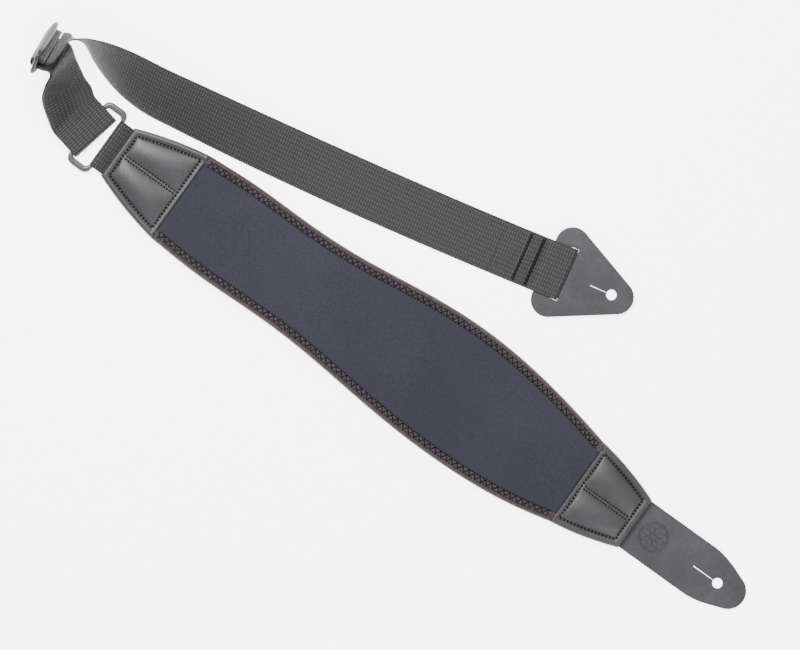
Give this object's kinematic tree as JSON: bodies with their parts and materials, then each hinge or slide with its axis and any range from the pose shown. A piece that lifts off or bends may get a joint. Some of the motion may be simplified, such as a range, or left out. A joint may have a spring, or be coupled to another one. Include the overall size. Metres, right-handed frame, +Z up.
{
  "type": "guitar strap",
  "caption": "Padded guitar strap: contoured neoprene pad with leather covers and tab, webbing with ring, sliding adjuster and triangular leather tab.",
  "frame": {"origin": "centre of the end tab's button hole, on the table plane under the strap", "axes": "+X along the pad from the ring towards the end tab, +Z up from the table, out of the button hole"},
  "size_m": [0.829, 0.2516, 0.0658],
  "materials": {
    "neoprene_face": "matte knit",
    "neoprene_foam": "matte foam",
    "lining": "soft brushed",
    "edge_strip": "ribbed knit",
    "thread": "waxed thread",
    "cover_leather": "smooth gloss",
    "tab_leather": "satin",
    "webbing": "woven",
    "ring_metal": "gloss",
    "slider_plastic": "satin"
  },
  "bodies": {
    "pad": {"pad_core": "neoprene_foam", "pad_face": "neoprene_face", "pad_lining": "lining", "edge_strip_upper": "edge_strip", "edge_strip_lower": "edge_strip", "edge_stitching_upper": "thread", "edge_stitching_lower": "thread", "ring_end_cover_back": "cover_leather", "ring_end_cover_front": "cover_leather", "ring_end_cover_pads": "neoprene_foam", "ring_end_stitching": "thread", "tab_end_cover_back": "cover_leather", "tab_end_cover_front": "cover_leather", "tab_end_cover_pads": "neoprene_foam", "tab_end_stitching": "thread", "end_tab_root": "tab_leather", "anchor_webbing": "webbing"},
    "end_tab": {"end_tab": "tab_leather"},
    "ring": {"ring": "ring_metal"},
    "loop": {"webbing_ring_fold": "webbing", "webbing_double": "webbing"},
    "slider": {"slider": "slider_plastic", "webbing_sewn_end": "webbing", "webbing_turn": "webbing"},
    "lead": {"webbing_twist": "webbing"},
    "run": {"webbing_run": "webbing"},
    "run_end": {"webbing_end": "webbing", "webbing_end_stitching": "thread", "triangle_tab": "tab_leather"}
  },
  "joints": [
    {"name": "end_tab_flex", "type": "hinge", "parent": "pad", "child": "end_tab", "pos_m": [-0.0906, 0, 0.0015], "axis": [0, -1, 0], "range_deg": [-60, 90]},
    {"name": "ring_swing", "type": "hinge", "parent": "pad", "child": "ring", "pos_m": [-0.693, 0, 0.0043], "axis": [0, 1, 0], "range_deg": [-20, 60]},
    {"name": "loop_swing", "type": "hinge", "parent": "ring", "child": "loop", "pos_m": [-0.7176, 0, 0.0043], "axis": [0, 1, 0], "range_deg": [-20, 60]},
    {"name": "length_adjust", "type": "slide", "parent": "loop", "child": "slider", "axis": [-0.7431, 0.6692, 0], "range_m": [0, 0.04]},
    {"name": "run_fold", "type": "hinge", "parent": "slider", "child": "lead", "pos_m": [-0.78249, 0.0441, 0.03626], "axis": [0.1318, -0.6292, 0.766], "range_deg": [0, 75]},
    {"name": "run_feed", "type": "slide", "parent": "lead", "child": "run", "axis": [-0.9792, -0.2028, 0], "range_m": [0, 0.08], "deforming": ["webbing_twist"]},
    {"name": "run_end_flex", "type": "hinge", "parent": "run", "child": "run_end", "pos_m": [-0.33454, 0.13834, 0.0009], "axis": [0.2028, -0.9792, 0], "range_deg": [-45, 90]}
  ],
  "couplings": [
    {"joint": "run_feed", "follows": "length_adjust", "ratio": 2}
  ]
}
